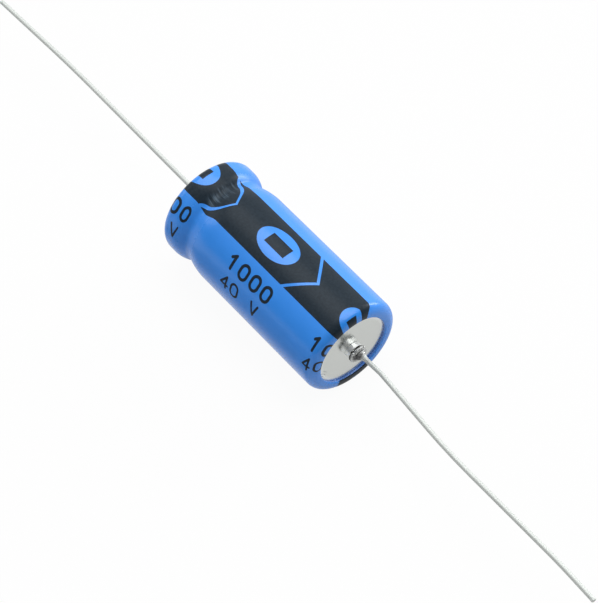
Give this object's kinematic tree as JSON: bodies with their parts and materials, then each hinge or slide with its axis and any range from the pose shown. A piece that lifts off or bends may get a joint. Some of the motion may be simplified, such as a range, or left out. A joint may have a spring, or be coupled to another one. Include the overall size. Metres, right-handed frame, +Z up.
{
  "type": "axial aluminium electrolytic capacitor",
  "caption": "Round sleeved can with a beaded end, a polarity stripe and a wire lead welded to a stud at each end, for storing charge in a circuit.",
  "frame": {"origin": "middle of the case, on its axis", "axes": "+X along the case towards its negative end, +Z up through the middle of the stripe, the leads' bends level in the XY plane"},
  "size_m": [0.112, 0.0134, 0.0134],
  "materials": {
    "sleeve_film": "satin shrink film, printed with a dark polarity stripe",
    "can_aluminium": "satin drawn aluminium",
    "seal_rubber": "matt moulded rubber",
    "stud_aluminium": "bright drawn aluminium with a rough weld",
    "tab_foil": "matt rolled foil",
    "tinned_wire": "bright tin on steel wire",
    "wound_paper": "damp paper and foil, wound tight",
    "closing_tape": "thin film tape"
  },
  "bodies": {
    "root": {"sleeve": "sleeve_film", "can": "can_aluminium", "end_seal": "seal_rubber", "anode_stud": "stud_aluminium", "anode_tab": "tab_foil", "anode_lead": "tinned_wire", "winding": "wound_paper", "winding_tape": "closing_tape", "cathode_tab": "tab_foil", "cathode_stud": "stud_aluminium", "cathode_lead": "tinned_wire"}
  },
  "joints": []
}
